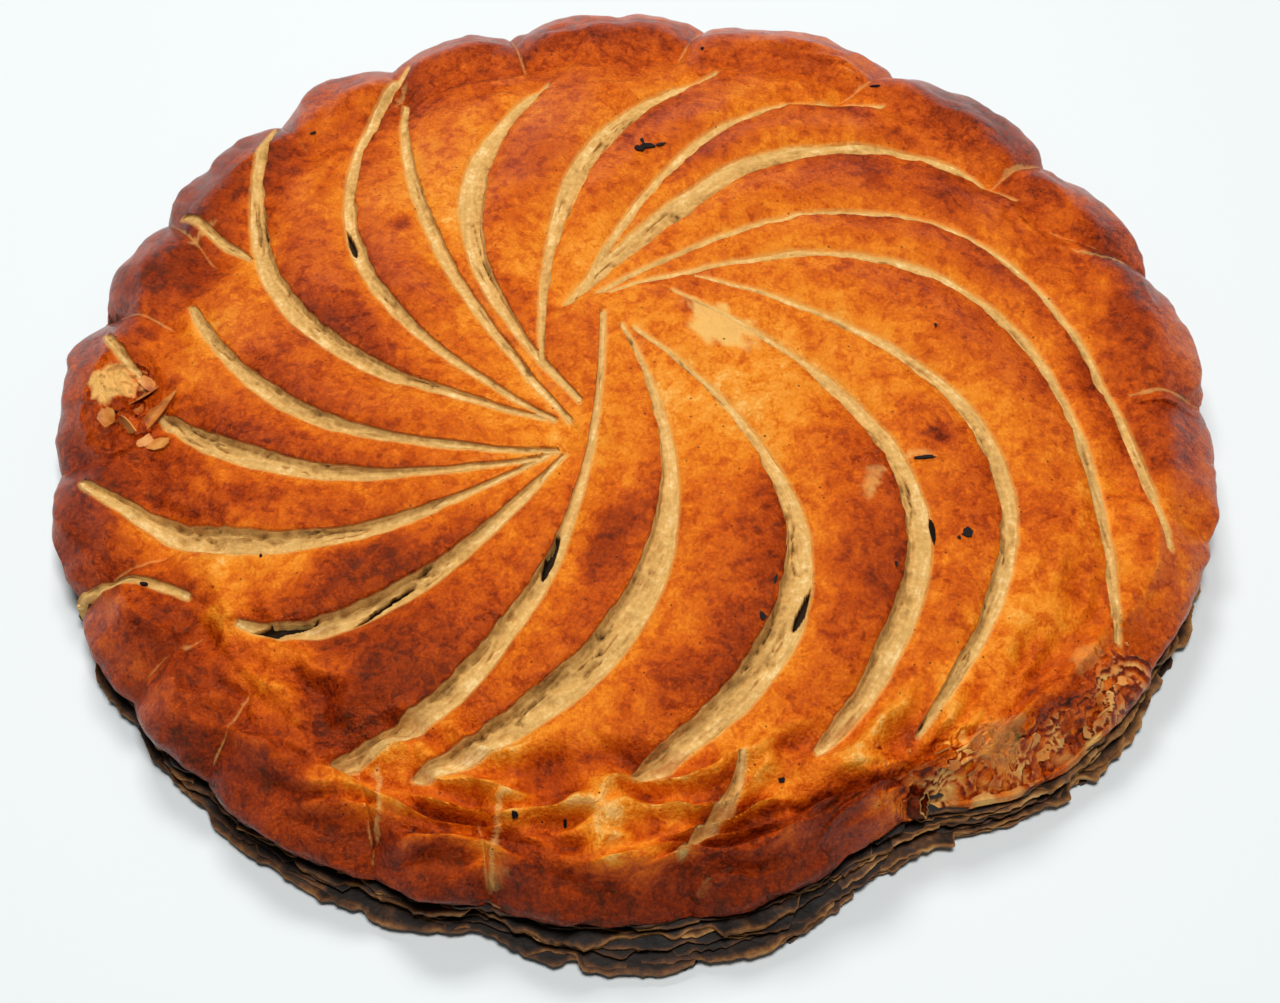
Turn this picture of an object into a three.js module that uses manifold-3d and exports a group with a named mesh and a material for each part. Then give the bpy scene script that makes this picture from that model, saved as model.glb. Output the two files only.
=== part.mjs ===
// Galette des rois: a round puff pastry cake, uncut, so it is one solid.
// A domed sheet of pastry covers the filling and is sealed to the bottom sheet along a puffed border.
// Curved knife cuts run from the middle to the border, and pinches divide the border into scallops.
// Millimetres, +Z up, with the origin at the middle of the flat base. Bearings are in degrees,
// anticlockwise from +X seen from above.
import * as THREE from "three";
import { mergeVertices } from "three/addons/utils/BufferGeometryUtils.js";
import Module from "manifold-3d";

const { clamp, degToRad, lerp, radToDeg, smoothstep } = THREE.MathUtils;

// Driving dimensions
const EDGE_RADIUS = 152; // middle to the edge of the upper sheet
const CROWN_HEIGHT = 40; // top of the dome
const SEAM_RADIUS = 125; // where the filling stops and the border starts
const SEAM_HEIGHT = 20;
const DOME_POWER = 2.3; // higher is flatter in the middle
const ROLL_RADIUS = 137; // crest of the puffed border
const ROLL_HEIGHT = 4; // above the seam
const ROLL_WIDTH = 8;
const LIP_HEIGHT = 13; // underside edge of the upper sheet
const BASE_RADIUS = 147;
const BORDER_ZONE = [121, 139]; // radii between which the crust passes from dome to border

// Petals, the strips of crust between two cuts, puff up away from them.
const PUFF_HEIGHT = 3.2;
const LIP_SIDE_REACH = 3.5; // the crust stands up sharply on the inner side of a curved cut
const SLOPE_SIDE_REACH = 9; // and slopes down to it on the outer side

// Knife cuts: where the knife went in, the point that bends its path, where it came out, and the
// greatest width that the cut opened to in the oven. The last three are short slits in the border.
const KNIFE_CUTS = [
  { inner: [-14, -11], bend: [-72, 57], outer: [-25, 112], width: 5 },
  { inner: [-17, -18], bend: [-65, 46], outer: [-66, 108], width: 2.6 },
  { inner: [-20, -16], bend: [-108, 36], outer: [-66, 124], width: 3.6 },
  { inner: [-23, -15], bend: [-118, 10], outer: [-103, 101], width: 3.6 },
  { inner: [-19, -25], bend: [-90, -26], outer: [-116, 32], width: 4 },
  { inner: [-23, -27], bend: [-83, -42], outer: [-122, -5], width: 5.4 },
  { inner: [-21, -27], bend: [-84, -70], outer: [-141, -25], width: 6 },
  { inner: [-18, -26], bend: [-57, -82], outer: [-95, -69], width: 5.4 },
  { inner: [-9, 17], bend: [-7, -80], outer: [-71, -105], width: 5.4 },
  { inner: [-4, 13], bend: [34, -73], outer: [-52, -107], width: 7 },
  { inner: [-1, 12], bend: [79, -60], outer: [-3, -108], width: 5.6 },
  { inner: [9, 24], bend: [108, -29], outer: [40, -102], width: 5.4 },
  { inner: [14, 28], bend: [136, -4], outer: [65, -98], width: 3.6 },
  { inner: [-6, 22], bend: [124, 82], outer: [115, -72], width: 3.8 },
  { inner: [-9, 22], bend: [112, 117], outer: [131, -46], width: 3.4 },
  { inner: [-18, 20], bend: [46, 119], outer: [104, 70], width: 6.4 },
  { inner: [-15, 23], bend: [17, 117], outer: [70, 105], width: 2.8 },
  { inner: [-24, 2], bend: [-29, 93], outer: [23, 117], width: 4.6 },
  { inner: [-108, -60], bend: [-124, -50], outer: [-139, -54], width: 3.4 },
  { inner: [24, -104], bend: [24, -116], outer: [9, -128], width: 2.6 },
  { inner: [-104, 48], bend: [-116, 59], outer: [-125, 66], width: 2.4 },
];
const CUT_DEPTH_PER_WIDTH = 0.9;
const CUT_SLOPE_DEPTH = 0.4; // of the sloping side's upper edge
const CUT_STEPS = 14; // at most, along a cut
const CUT_STEP_LENGTH = 7; // at least, so a short slit has fewer
const CUT_TIP_WIDTH = 0.5;
const CUT_TAPER = 0.6; // below 1, a cut opens soon after its tip
const CUT_SKEW = 1.25; // above 1, a cut is widest past its middle
const KNIFE_HEADROOM = 9; // the cutting solid stands this far out of the crust

// Pinches across the border
const PINCHES = [
  4, 20, 39, 59, 82, 105, 119, 134, 148, 166, 186, 202, 214, 226, 241, 256, 275, 301, 329, 345,
];
const PINCH_STATIONS = [0, 0.12, 0.5, 0.88]; // places round a scallop, as shares of it
const PINCH_RADIAL = 3; // how far a pinch draws the edge in
const PINCH_DROP = 3; // and presses the roll down
const PINCH_SHARPNESS = 5; // degrees

// Where the border was drawn in: how far at the upper sheet and at the bottom sheet
const DRAWN_IN = [
  { bearing: 280, spread: 55, upper: 12, lower: 1.5 },
  { bearing: 298, spread: 12, upper: 10, lower: 12 },
  { bearing: 256, spread: 6, upper: 0, lower: 4 },
];
const DRAW_START = 117; // radius that stays in place
const UNDRAW_PASSES = 12; // steps that find where a point lay before it was drawn in

// The side: leaves of puff pastry that stand out between shadowed gaps, down to the bottom sheet
const LEAVES = [
  { height: 10.6, radius: 149, thickness: 1.5 },
  { height: 7, radius: 148.5, thickness: 1.5 },
  { height: 2.9, radius: 150.5, thickness: 2.2 },
];
const LEAF_UPPER_SHARE = 0.7; // a leaf's edge, in shares of its thickness above and below its height
const LEAF_LOWER_SHARE = 0.4;
const LEAF_UNDERCUT = 0.4;
const GAP_RADIUS = 145;
const LEAF_WANDER = 1.2; // how far a leaf's edge moves in and out round the cake
const WANDER_WAVES = [7, 3];

// Patches of the border where the top leaf tore into flakes that stand up
const TORN_PATCHES = [
  { bearings: [303, 327], radii: [130, 149], flakes: 12 },
  { bearings: [177, 190], radii: [118, 139], flakes: 5 },
];
const FLAKE_LENGTH = 12;
const FLAKE_WIDTH = 8;
const FLAKE_THICKNESS = 1.8;
const FLAKE_CORNERS = 7;
const FLAKE_RAGGED = 0.25; // share of its size by which a flake's outline wanders
const FLAKE_LIFT = 0.2; // tilt out of the crust, in radians
const GOLDEN_TURN = 0.618; // spreads the flakes of a patch without a pattern

// A fold of the upper sheet that curled over beside the drawn-in corner
const FOLD = { from: [38, -121], to: [65, -111], width: 9, rise: 3.5 };
const FOLD_SIDES = 10;
const FOLD_RINGS = 6;

const TOP_STEPS = 14;
const TOP_SPACING = 0.82; // below 1, the rings stand closer together towards the border
const BASE_STEPS = 3;

const wasm = await Module();
wasm.setup();

// A closed three.js geometry as a solid that can be cut and joined
function solidOf(geometry) {
  const bare = geometry.clone();
  bare.deleteAttribute("normal");
  bare.deleteAttribute("uv");
  const merged = mergeVertices(bare, 1e-3);
  const corners = merged.index.array;
  const faces = [];
  for (let i = 0; i < corners.length; i += 3) {
    const [a, b, c] = [corners[i], corners[i + 1], corners[i + 2]];
    if (a !== b && b !== c && c !== a) faces.push(a, b, c);
  }
  return new wasm.Manifold(
    new wasm.Mesh({
      numProp: 3,
      vertProperties: merged.attributes.position.array,
      triVerts: new Uint32Array(faces),
    }),
  );
}

function geometryOf(solid) {
  const mesh = solid.getMesh();
  const geometry = new THREE.BufferGeometry();
  geometry.setAttribute("position", new THREE.BufferAttribute(mesh.vertProperties, 3));
  geometry.setIndex(new THREE.BufferAttribute(mesh.triVerts, 1));
  geometry.computeVertexNormals();
  return geometry;
}

// Slivers between crossing cuts come loose, and are dropped.
function largestPiece(solid) {
  return solid.decompose().reduce((kept, piece) => (piece.volume() > kept.volume() ? piece : kept));
}

// Moves every vertex of a geometry to the place that a function gives for it.
function reshape(geometry, place) {
  const position = geometry.attributes.position;
  const vertex = new THREE.Vector3();
  for (let i = 0; i < position.count; i++) {
    vertex.fromBufferAttribute(position, i);
    position.setXYZ(i, ...place(vertex, i));
  }
  return geometry;
}

// The shorter turn from one bearing to another, from -180 to 180
function turnTo(bearing, other) {
  return ((other - bearing + 540) % 360) - 180;
}

// The knife's path over the cake, seen from above
function knifePath({ inner, bend, outer }) {
  return new THREE.QuadraticBezierCurve(
    new THREE.Vector2(...inner),
    new THREE.Vector2(...bend),
    new THREE.Vector2(...outer),
  );
}

const cutTracks = KNIFE_CUTS.map((cut) => {
  const path = knifePath(cut);
  const stations = Array.from({ length: CUT_STEPS + 1 }, (_, i) => i / CUT_STEPS);
  return stations.map((t) => ({ point: path.getPoint(t), along: path.getTangent(t) }));
});

// 0 at a cut, rising to 1 in the middle of a petal
function petalShare(x, y) {
  let share = 1;
  for (const track of cutTracks) {
    let near = track[0];
    let distance = Infinity;
    for (const station of track) {
      const away = Math.hypot(x - station.point.x, y - station.point.y);
      if (away < distance) [distance, near] = [away, station];
    }
    const left = near.along.x * (y - near.point.y) - near.along.y * (x - near.point.x);
    const slopeSide = 0.5 + (0.5 * left) / Math.max(distance, 1e-6);
    const reach = lerp(LIP_SIDE_REACH, SLOPE_SIDE_REACH, slopeSide);
    share *= 1 - Math.exp(-distance / reach);
  }
  return share;
}

// Height of the upper sheet before it was cut or drawn in, by distance from the middle
function sheetHeight(radius) {
  const fill = Math.max(0, 1 - (radius / SEAM_RADIUS) ** DOME_POWER);
  const roll = Math.exp(-(((radius - ROLL_RADIUS) / ROLL_WIDTH) ** 2));
  const dome = SEAM_HEIGHT + (CROWN_HEIGHT - PUFF_HEIGHT - SEAM_HEIGHT) * fill;
  const past = clamp((radius - ROLL_RADIUS) / (EDGE_RADIUS - ROLL_RADIUS), 0, 1);
  const shoulder = 1 - Math.sqrt(1 - past ** 2);
  return lerp(dome + ROLL_HEIGHT * roll, LIP_HEIGHT, shoulder);
}

// 0 over the filling, 1 from the crest of the border outwards
function borderShare(radius) {
  return smoothstep(radius, ...BORDER_ZONE);
}

function pinchAt(bearing) {
  const nearest = Math.min(...PINCHES.map((pinch) => Math.abs(turnTo(bearing, pinch))));
  return Math.exp(-nearest / PINCH_SHARPNESS);
}

// How far a point of the cake was drawn in, by its place before that
function drawIn(radius, bearing, height) {
  const level = smoothstep(height, 0, LIP_HEIGHT);
  let depth = 0;
  for (const draw of DRAWN_IN) {
    const away = turnTo(bearing, draw.bearing) / draw.spread;
    depth += lerp(draw.lower, draw.upper, level) * Math.exp(-(away ** 2));
  }
  return depth * smoothstep(radius, DRAW_START, EDGE_RADIUS);
}

// A point of the finished crust, by its place on the flat round sheet
function crustPoint(radius, bearing) {
  const angle = degToRad(bearing);
  const border = borderShare(radius);
  const pinch = pinchAt(bearing) * border;
  const height = sheetHeight(radius);
  const reach = radius - drawIn(radius, bearing, height) - PINCH_RADIAL * pinch;
  const [x, y] = [reach * Math.cos(angle), reach * Math.sin(angle)];
  const puff = PUFF_HEIGHT * petalShare(x, y) * (1 - border);
  return new THREE.Vector3(x, y, height + puff - PINCH_DROP * pinch);
}

// Height of the crust before it is cut, by plan position on the finished cake
function crustHeight(x, y) {
  const bearing = radToDeg(Math.atan2(y, x));
  const reach = Math.hypot(x, y);
  let radius = reach;
  for (let pass = 0; pass < UNDRAW_PASSES; pass++) {
    radius = reach + drawIn(radius, bearing, LIP_HEIGHT);
  }
  return sheetHeight(radius) + PUFF_HEIGHT * petalShare(x, y) * (1 - borderShare(radius));
}

// The section of the cake from the middle of the base round to the crown
function section() {
  const points = [];
  for (let i = 0; i <= BASE_STEPS; i++) {
    points.push({ radius: (BASE_RADIUS * i) / BASE_STEPS, height: 0 });
  }
  for (const { height, radius, thickness } of LEAVES.toReversed()) {
    points.push({ radius: radius - LEAF_UNDERCUT, height: height - thickness * LEAF_LOWER_SHARE });
    points.push({ radius, height: height + thickness * LEAF_UPPER_SHARE });
    points.push({ radius: GAP_RADIUS, height: height + thickness });
  }
  for (let i = TOP_STEPS; i >= 0; i--) {
    points.push({ radius: EDGE_RADIUS * (i / TOP_STEPS) ** TOP_SPACING, onCrust: true });
  }
  return points;
}

// The lathe's segments follow the scallops, so that every pinch has its own vertices.
function bearings() {
  return PINCHES.flatMap((pinch, i) => {
    const next = i + 1 < PINCHES.length ? PINCHES[i + 1] : PINCHES[0] + 360;
    return PINCH_STATIONS.map((share) => pinch + (next - pinch) * share);
  });
}

// A point of the base or the side, where the edges of the leaves wander in and out
function sidePoint(radius, bearing, height) {
  const angle = degToRad(bearing);
  const [coarse, fine] = WANDER_WAVES.map((waves) => waves * angle);
  const wander = height > 0 ? LEAF_WANDER * Math.sin(coarse + height) * Math.cos(fine - height) : 0;
  const pinch = PINCH_RADIAL * pinchAt(bearing) * borderShare(radius);
  const reach = radius - drawIn(radius, bearing, height) - pinch + wander;
  return new THREE.Vector3(reach * Math.cos(angle), reach * Math.sin(angle), height);
}

// The whole cake without its cuts: a lathe of the section, with every vertex moved to its place
function uncutCake() {
  const profile = section();
  const turns = bearings();
  const outline = profile.map(({ radius }, i) => new THREE.Vector2(radius, i));
  const lathe = new THREE.LatheGeometry(outline, turns.length);
  return reshape(lathe, (_, i) => {
    const bearing = turns[Math.floor(i / profile.length) % turns.length];
    const { radius, height, onCrust } = profile[i % profile.length];
    return onCrust ? crustPoint(radius, bearing) : sidePoint(radius, bearing, height);
  });
}

// The space that a knife cut opened: upright on the cut's inner side, sloping up on its outer side
function knifeCut(cut) {
  const path = knifePath(cut);
  const steps = Math.min(CUT_STEPS, Math.round(path.getLength() / CUT_STEP_LENGTH));
  const blade = new THREE.BoxGeometry(1, 1, 1, 1, 1, steps);
  return reshape(blade, ({ x, y, z }) => {
    const t = z + 0.5;
    const point = path.getPoint(t);
    const along = path.getTangent(t);
    const open = Math.sin(Math.PI * t ** CUT_SKEW) ** CUT_TAPER;
    const width = CUT_TIP_WIDTH + (cut.width - CUT_TIP_WIDTH) * open;
    const px = point.x - along.y * width * x;
    const py = point.y + along.x * width * x;
    const surface = crustHeight(px, py);
    const floor = surface - (x < 0 ? CUT_DEPTH_PER_WIDTH * width : CUT_SLOPE_DEPTH);
    return [px, py, y < 0 ? floor : surface + KNIFE_HEADROOM];
  });
}

// A torn scrap of the top leaf, seated in the crust and lifted on one side
function tornFlake(radius, bearing, turn) {
  const scrap = new THREE.CylinderGeometry(1, 1, FLAKE_THICKNESS, FLAKE_CORNERS);
  const ragged = reshape(scrap, ({ x, y, z }) => {
    const corner = Math.atan2(z, x);
    const size = 1 + FLAKE_RAGGED * Math.sin(3 * corner + turn) * Math.cos(2 * corner - turn);
    return [(x * size * FLAKE_LENGTH) / 2, y, (z * size * FLAKE_WIDTH) / 2];
  });
  ragged.rotateY(turn);
  ragged.rotateX(FLAKE_LIFT);
  const place = crustPoint(radius, bearing);
  const outward = crustPoint(radius + 1, bearing).sub(place).normalize();
  const round = crustPoint(radius, bearing + 1).sub(place).normalize();
  const upright = outward.clone().cross(round).normalize();
  const frame = new THREE.Matrix4().makeBasis(round, upright, outward.clone());
  ragged.applyMatrix4(frame.setPosition(place));
  return ragged;
}

function tornFlakes() {
  return TORN_PATCHES.flatMap(({ bearings: [from, to], radii: [inner, outer], flakes }) =>
    Array.from({ length: flakes }, (_, i) => {
      const bearing = lerp(from, to, (i * GOLDEN_TURN) % 1);
      const radius = lerp(inner, outer, (i + 0.5) / flakes);
      return tornFlake(radius, bearing, i);
    }),
  );
}

// A rounded ridge that lies half sunk in the crust
function foldedRidge({ from, to, width, rise }) {
  const start = new THREE.Vector2(...from);
  const span = new THREE.Vector2(...to).sub(start);
  const middle = start.addScaledVector(span, 0.5);
  const ridge = new THREE.SphereGeometry(1, FOLD_SIDES, FOLD_RINGS);
  ridge.scale(span.length() / 2, width / 2, rise);
  ridge.rotateZ(span.angle());
  return ridge.translate(middle.x, middle.y, crustHeight(middle.x, middle.y));
}

function galette() {
  let solid = solidOf(uncutCake());
  for (const cut of KNIFE_CUTS) solid = solid.subtract(solidOf(knifeCut(cut)));
  for (const flake of tornFlakes()) solid = solid.add(solidOf(flake));
  solid = solid.add(solidOf(foldedRidge(FOLD)));
  const crust = new THREE.MeshStandardMaterial({ color: "#c9701f", roughness: 0.35, metalness: 0 });
  const mesh = new THREE.Mesh(geometryOf(largestPiece(solid)), crust);
  mesh.name = "galette";
  return mesh;
}

const cake = new THREE.Group();
cake.add(galette());

export default cake;
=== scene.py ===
"""Galette des rois, a round puff pastry cake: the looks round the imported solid."""
import math

import bpy
import numpy as np
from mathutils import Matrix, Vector


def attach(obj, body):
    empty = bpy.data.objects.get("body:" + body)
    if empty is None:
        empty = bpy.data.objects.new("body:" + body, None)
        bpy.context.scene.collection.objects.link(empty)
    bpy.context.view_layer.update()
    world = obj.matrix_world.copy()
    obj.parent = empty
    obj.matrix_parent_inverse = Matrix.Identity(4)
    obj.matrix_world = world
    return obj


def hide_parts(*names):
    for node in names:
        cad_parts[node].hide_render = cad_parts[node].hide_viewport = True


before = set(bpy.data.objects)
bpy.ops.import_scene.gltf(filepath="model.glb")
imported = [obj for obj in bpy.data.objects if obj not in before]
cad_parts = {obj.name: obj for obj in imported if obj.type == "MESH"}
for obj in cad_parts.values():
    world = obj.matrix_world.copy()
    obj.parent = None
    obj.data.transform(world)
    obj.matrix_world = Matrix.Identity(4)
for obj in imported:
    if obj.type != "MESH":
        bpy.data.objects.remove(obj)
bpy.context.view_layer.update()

# The upper sheet
# A round of puff pastry, rolled dough and butter in leaves, laid over the filling and sealed down.
# It is brushed with egg, scored with a knife from the middle to the border, and baked until it puffs.
# Lengths are in millimetres, and bearings in degrees anticlockwise from +X.
MM = 0.001
EDGE_RADIUS = 152  # middle to the edge of the upper sheet
CROWN_HEIGHT = 40
SEAM_RADIUS = 125  # where the filling stops and the border starts
SEAM_HEIGHT = 20
DOME_POWER = 2.3  # higher is flatter in the middle
ROLL_RADIUS = 137  # crest of the puffed border
ROLL_HEIGHT = 4
ROLL_WIDTH = 8
LIP_HEIGHT = 13  # underside edge of the upper sheet
BORDER_ZONE = (121, 139)  # radii between which the dome passes into the border
PINCH_ZONE = (112, 130)  # radii between which the pinches deepen
PUFF_HEIGHT = 4.6  # of the petals, the strips between two cuts
LIP_SIDE_REACH = 3.2  # how far from a cut its petals dip, on the upright side and on the sloping one
SLOPE_SIDE_REACH = 7
LIP_SIDE_DIP = 0.36  # share of the puff that is gone at the cut
SLOPE_SIDE_DIP = 0.75
# Knife cuts: where the knife went in, the point that bends its path, where it came out, the greatest
# width that the cut opened to, and how far along that is. The last four are short slits in the border.
KNIFE_CUTS = [
    ((-14, -11), (-69, 57), (-25, 112), 6.4, 0.68),
    ((-16, -17), (-65, 46), (-66, 108), 3, 0.6),
    ((-20, -16), (-106, 37), (-66, 124), 3.6, 0.65),
    ((-23, -15), (-118, 10), (-103, 101), 4.6, 0.6),
    ((-19, -25), (-90, -27), (-118, 31), 3.6, 0.7),
    ((-23, -27), (-82, -40), (-122, -5), 4.8, 0.75),
    ((-22, -26), (-84, -70), (-140, -24), 5.4, 0.7),
    ((-18, -26), (-58, -80), (-95, -69), 4.6, 0.6),
    ((-9, 17), (-7, -80), (-70, -106), 5.4, 0.78),
    ((-4, 13), (34, -73), (-51, -109), 8.2, 0.68),
    ((-1, 12), (79, -60), (-1, -110), 7.6, 0.72),
    ((9, 24), (108, -29), (41, -103), 6.2, 0.62),
    ((15, 30), (136, -4), (65, -98), 4.6, 0.5),
    ((-7, 24), (124, 82), (115, -72), 4, 0.5),
    ((-10, 24), (112, 117), (131, -46), 3.2, 0.5),
    ((-18, 20), (47, 117), (104, 70), 7.4, 0.38),
    ((-15, 23), (18, 115), (70, 105), 3.6, 0.6),
    ((-24, 2), (-27, 92), (23, 117), 6, 0.66),
    ((-108, -60), (-124, -50), (-139, -54), 2.4, 0.4),
    ((24, -104), (24, -116), (9, -128), 2.6, 0.5),
    ((-104, 48), (-116, 59), (-125, 66), 2.4, 0.5),
    ((-129, 9), (-135, 14), (-140, 23), 2.6, 0.5),
]
CUT_TIP_WIDTH = 1.3
INNER_TAPER = 0.95  # below 1, a cut opens soon after its tip
OUTER_TAPER = 0.6
CUT_DEPTH = 3.2
CUT_DEPTH_WIDTH = 5
GROOVE_CLEARANCE = 3.4  # the groove in the crust is this much deeper than the crumb in it
OPEN_WIDTH = 3  # a cut of this width has its full lip and rounded edge
LEAST_EDGE = 0.2  # an edge is never nearer to the path of the knife
EDGE_ROUNDING = 0.45
LIP_LIFT = 0.4
LIP_LIFT_REACH = 1.4
BROWNING_REACH = 8
LANE = 40.0  # keeps the unevenness of one cut apart from that of the next
FAR_FROM_CUTS = 9.0
CUT_STATIONS = 160
CUT_NEIGHBOURHOOD = 32
BATCH = 20000  # points measured at a time
SNAP = 0.22
# Pinches across the border: bearing at the edge in degrees, how deep it is beside the others, and how
# many degrees its crease turns for each millimetre inward
PINCHES = (
    (2, 0.7, 0), (19, 0.9, 0.36), (38, 1.1, 0), (59, 1.2, 0.1), (82, 0.9, 0.1),
    (105, 1.0, 0), (119, 0.8, 0.1), (134, 0.8, 0.1), (152, 1.0, 0.19), (166, 1.0, 0.1),
    (186, 0.8, 0.1), (202, 1.0, 0), (214, 0.9, 0), (226, 1.0, -0.1), (245, 1.0, -0.23),
    (256, 1.0, -0.11), (275, 0.6, 0), (301, 0.5, 0), (329, 0.6, 0.1), (345, 0.7, 0.1),
)
PINCH_RADIAL = 3  # how far a pinch draws the edge in
PINCH_DROP = 3  # and presses the roll down
PINCH_STEEP = 1.1  # degrees over which its notch, the dip round it and the line in it spread
PINCH_GENTLE = 3.6
CREASE = 0.35
# Where the border was drawn in: bearing, spread, and how far at the upper sheet and the bottom sheet
DRAWN_IN = ((280, 55, 12, 1.5), (298, 12, 10, 12), (256, 6, 0, 4))
DRAW_START = 117  # radius that stays in place
UNDRAW_PASSES = 4  # steps that find where a point lay before it was drawn in
# Folds pushed up along the near border: bearing and spread, radii where they begin and end, and height
WRINKLED_BEARING = 262
WRINKLED_SPREAD = 45
WRINKLE_ZONE = (96, 116)
WRINKLE_END = 143
WRINKLE_DEPTH = 2.3
# Where leaves of the skin flaked away in steps: a patch at the left by place, half length, half width
# and turn in the plan, and the drawn-in corner by the course of its edge
TORN = (-133, 0, 9, 14, 0)
TORN_STEP = 0.8  # thickness of a leaf
CORNER_BEARINGS = (294, 299, 305, 313, 322, 333)
CORNER_RADII = (133, 129, 131, 139, 143, 144)
CORNER_DEPTH = 10.5  # how far in from the edge the tear begins
CORNER_TREAD = 2.2  # from one step to the next
CORNER_STEPS = 5
# A fold of the sheet that curled over beside the drawn-in corner
FOLD_START = np.array((36, -121.5))
FOLD_END = np.array((65, -111.5))
FOLD_HALF_WIDTH = 3.6
FOLD_RISE = 3.6
FOLD_CREASE = 3
LATTICE = 256  # random values along each side of the lattice behind the unevenness


def smoothstep(low, high, value):
    share = np.clip((value - low) / (high - low), 0, 1)
    return share * share * (3 - 2 * share)


def hills(across, upward, seed):
    """Smooth random hills and hollows from -1 to 1, one to each step of a lattice."""
    lattice = np.random.default_rng(seed).uniform(-1, 1, (LATTICE, LATTICE))
    column = np.floor(across).astype(int)
    row = np.floor(upward).astype(int)
    right = smoothstep(0, 1, across - column)
    top = smoothstep(0, 1, upward - row)
    left_column = column % LATTICE
    right_column = (column + 1) % LATTICE
    low_row = lattice[row % LATTICE, left_column] * (1 - right)
    low_row += lattice[row % LATTICE, right_column] * right
    row = row + 1
    high_row = lattice[row % LATTICE, left_column] * (1 - right)
    high_row += lattice[row % LATTICE, right_column] * right
    return low_row * (1 - top) + high_row * top


def unevenness(x, y, size, seed):
    """Hills and hollows about size millimetres across, turned by the seed so that no two line up."""
    turn = 0.7 * seed
    across = (x * math.cos(turn) - y * math.sin(turn)) / size
    upward = (x * math.sin(turn) + y * math.cos(turn)) / size
    return hills(across, upward, seed)


def streaks(along, across, long, wide, seed):
    """Hills and hollows drawn out along one direction."""
    return hills(along / long, across / wide, seed)


def in_patch(x, y, patch):
    """Distance from the middle of a patch, as a share of its half sizes."""
    turn = math.radians(patch[4])
    dx = x - patch[0]
    dy = y - patch[1]
    along = dx * math.cos(turn) + dy * math.sin(turn)
    across = dy * math.cos(turn) - dx * math.sin(turn)
    return np.hypot(along / patch[2], across / patch[3])


def knife_track(cut):
    """Points and directions along a knife cut, and their distances from its start."""
    inner, bend, outer = (np.array(point, float) for point in cut[:3])
    t = np.linspace(0, 1, CUT_STATIONS + 1)[:, None]
    points = (1 - t) ** 2 * inner + 2 * t * (1 - t) * bend + t ** 2 * outer
    ahead = (1 - t) * (bend - inner) + t * (outer - bend)
    ahead /= np.linalg.norm(ahead, axis=1, keepdims=True)
    strides = np.linalg.norm(np.diff(points, axis=0), axis=1)
    return points, ahead, np.concatenate([[0], np.cumsum(strides)])


def cut_section(number, along, length):
    """Of a cut, at distances along it: how far its left and right edges are from its path, and its depth."""
    greatest, widest = KNIFE_CUTS[number][3:]
    share = np.clip(along / length, 0, 1) ** (math.log(0.5) / math.log(widest))
    taper = INNER_TAPER + (OUTER_TAPER - INNER_TAPER) * share
    opening = np.maximum(np.sin(math.pi * share), 0) ** taper
    width = CUT_TIP_WIDTH + (greatest - CUT_TIP_WIDTH) * opening
    lane = np.full(along.shape, LANE * number)
    opened = np.clip(width / OPEN_WIDTH, 0, 1)
    left = width / 2 * (1 + 0.2 * unevenness(along, lane, 16, 11))
    left += 0.2 * opened * unevenness(along, lane, 4, 12)
    right = width / 2 * (1 + 0.2 * unevenness(along, lane, 13, 13))
    right += opened ** 2 * (0.4 * unevenness(along, lane, 4, 14) + 0.2 * unevenness(along, lane, 1.5, 15))
    depth = CUT_DEPTH * (1 - np.exp(-width / CUT_DEPTH_WIDTH)) * (1 + 0.2 * unevenness(along, lane, 20, 16))
    return np.maximum(left, LEAST_EDGE), np.maximum(right, LEAST_EDGE), depth


def cut_place(x, y, cut, margin):
    """Of the points near a cut: which they are, how far left of its path and how far along it."""
    points, ahead, travelled = knife_track(cut)
    low = points.min(0) - margin
    high = points.max(0) + margin
    near = np.flatnonzero((x > low[0]) & (x < high[0]) & (y > low[1]) & (y < high[1]))
    left = np.empty(len(near))
    along = np.empty(len(near))
    for start in range(0, len(near), BATCH):
        batch = slice(start, start + BATCH)
        px = x[near[batch]]
        py = y[near[batch]]
        squares = (px[:, None] - points[:, 0]) ** 2 + (py[:, None] - points[:, 1]) ** 2
        nearest = squares.argmin(1)
        dx = px - points[nearest, 0]
        dy = py - points[nearest, 1]
        left[batch] = ahead[nearest, 0] * dy - ahead[nearest, 1] * dx
        along[batch] = travelled[nearest] + ahead[nearest, 0] * dx + ahead[nearest, 1] * dy
    return near, left, along, travelled[-1]


def snap_to_edges(x, y):
    """Plan positions, those beside an edge of a cut moved onto it, so that the edges run clean."""
    x = x.copy()
    y = y.copy()
    for number, cut in enumerate(KNIFE_CUTS):
        near, left, along, length = cut_place(x, y, cut, 1)
        ahead, travelled = knife_track(cut)[1:]
        edge_left, edge_right = cut_section(number, along, length)[:2]
        from_left = left - edge_left
        from_right = -left - edge_right
        shift = np.where(np.abs(from_right) < SNAP, from_right, 0)
        shift = np.where(np.abs(from_left) < SNAP, -from_left, shift) * (along > 0) * (along < length)
        x[near] -= np.interp(along, travelled, ahead[:, 1]) * shift
        y[near] += np.interp(along, travelled, ahead[:, 0]) * shift
    return x, y


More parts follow.
